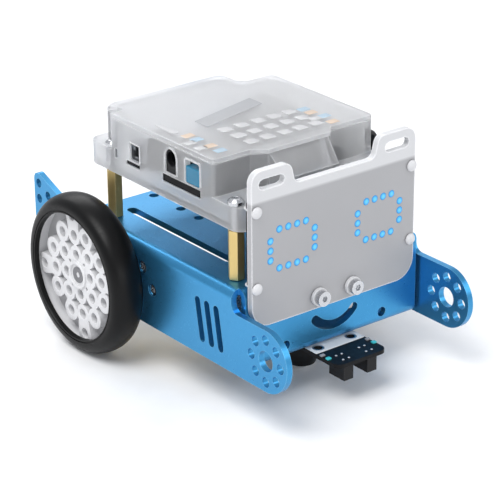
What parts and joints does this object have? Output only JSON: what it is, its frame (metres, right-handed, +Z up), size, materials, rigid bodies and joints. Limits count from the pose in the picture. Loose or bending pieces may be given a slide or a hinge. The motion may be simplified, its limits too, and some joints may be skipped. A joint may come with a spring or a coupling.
{
  "type": "educational coding robot",
  "caption": "Two-wheel classroom coding robot: bent metal chassis, geared wheels, caster, controller case on standoffs, lit display face and line sensor.",
  "frame": {"origin": "on the ground, under the middle of the robot's length and width", "axes": "+Z up; the face looks along -Y; +Y points to the tail; +X is the robot's left side and -X its right side, with the power switch"},
  "size_m": [0.121, 0.1612, 0.0962],
  "materials": {
    "anodised_blue": "satin anodised",
    "case_frost": "frosted",
    "display_frost": "frosted",
    "circuit_board": "solder mask",
    "socket_metal": "plated",
    "black_plastic": "moulded",
    "switch_blue": "moulded",
    "white_plastic": "moulded",
    "cable_jacket": "smooth",
    "ball_steel": "polished",
    "tyre_rubber": "satin rubber",
    "hub_white": "moulded",
    "gearbox_yellow": "moulded",
    "motor_steel": "plated",
    "screw_steel": "plated",
    "rivet_white": "moulded",
    "brass": "turned"
  },
  "bodies": {
    "robot": {"chassis": "anodised_blue", "case_base": "case_frost", "case_lid": "case_frost", "main_board": "circuit_board", "usb_socket": "socket_metal", "power_jack": "black_plastic", "power_switch_body": "black_plastic", "module_port_1": "white_plastic", "module_port_2": "white_plastic", "module_port_3": "white_plastic", "module_port_4": "white_plastic", "buzzer": "black_plastic", "controller_chip": "black_plastic", "infrared_receiver": "black_plastic", "display_plate": "display_frost", "display_board": "circuit_board", "display_socket": "white_plastic", "sensor_board": "circuit_board", "caster_housing": "black_plastic", "patch_cable": "cable_jacket", "patch_plug_case": "black_plastic", "patch_plug_display": "black_plastic", "right_gearbox": "gearbox_yellow", "right_motor": "motor_steel", "right_motor_screw_front": "screw_steel", "right_motor_screw_upper": "screw_steel", "display_rivet_right_1": "rivet_white", "display_rivet_right_2": "rivet_white", "display_screw_right": "screw_steel", "display_washer_right": "rivet_white", "infrared_sensor_right": "black_plastic", "caster_screw_right": "screw_steel", "standoff_front_right": "brass", "case_screw_front_right": "screw_steel", "standoff_rear_right": "brass", "case_screw_rear_right": "screw_steel", "left_gearbox": "gearbox_yellow", "left_motor": "motor_steel", "left_motor_screw_front": "screw_steel", "left_motor_screw_upper": "screw_steel", "display_rivet_left_1": "rivet_white", "display_rivet_left_2": "rivet_white", "display_screw_left": "screw_steel", "display_washer_left": "rivet_white", "infrared_sensor_left": "black_plastic", "caster_screw_left": "screw_steel", "standoff_front_left": "brass", "case_screw_front_left": "screw_steel", "standoff_rear_left": "brass", "case_screw_rear_left": "screw_steel"},
    "right_wheel": {"right_tyre": "tyre_rubber", "right_wheel_hub": "hub_white", "right_hub_screw": "screw_steel", "right_output_shaft": "white_plastic"},
    "left_wheel": {"left_tyre": "tyre_rubber", "left_wheel_hub": "hub_white", "left_hub_screw": "screw_steel", "left_output_shaft": "white_plastic"},
    "ball": {"caster_ball": "ball_steel"},
    "power_button": {"power_switch_button": "switch_blue"}
  },
  "joints": [
    {"name": "right_wheel_spin", "type": "hinge", "parent": "robot", "child": "right_wheel", "pos_m": [-0.0536, 0.03215, 0.032], "axis": [1, 0, 0], "continuous": true},
    {"name": "left_wheel_spin", "type": "hinge", "parent": "robot", "child": "left_wheel", "pos_m": [0.0536, 0.03215, 0.032], "axis": [1, 0, 0], "continuous": true},
    {"name": "caster_ball_roll", "type": "hinge", "parent": "robot", "child": "ball", "pos_m": [0.0008, -0.03285, 0.005], "axis": [1, 0, 0], "continuous": true},
    {"name": "power_button_press", "type": "slide", "parent": "robot", "child": "power_button", "axis": [1, 0, 0], "range_m": [0, 0.0016], "stiffness_N_per_m": 600}
  ]
}
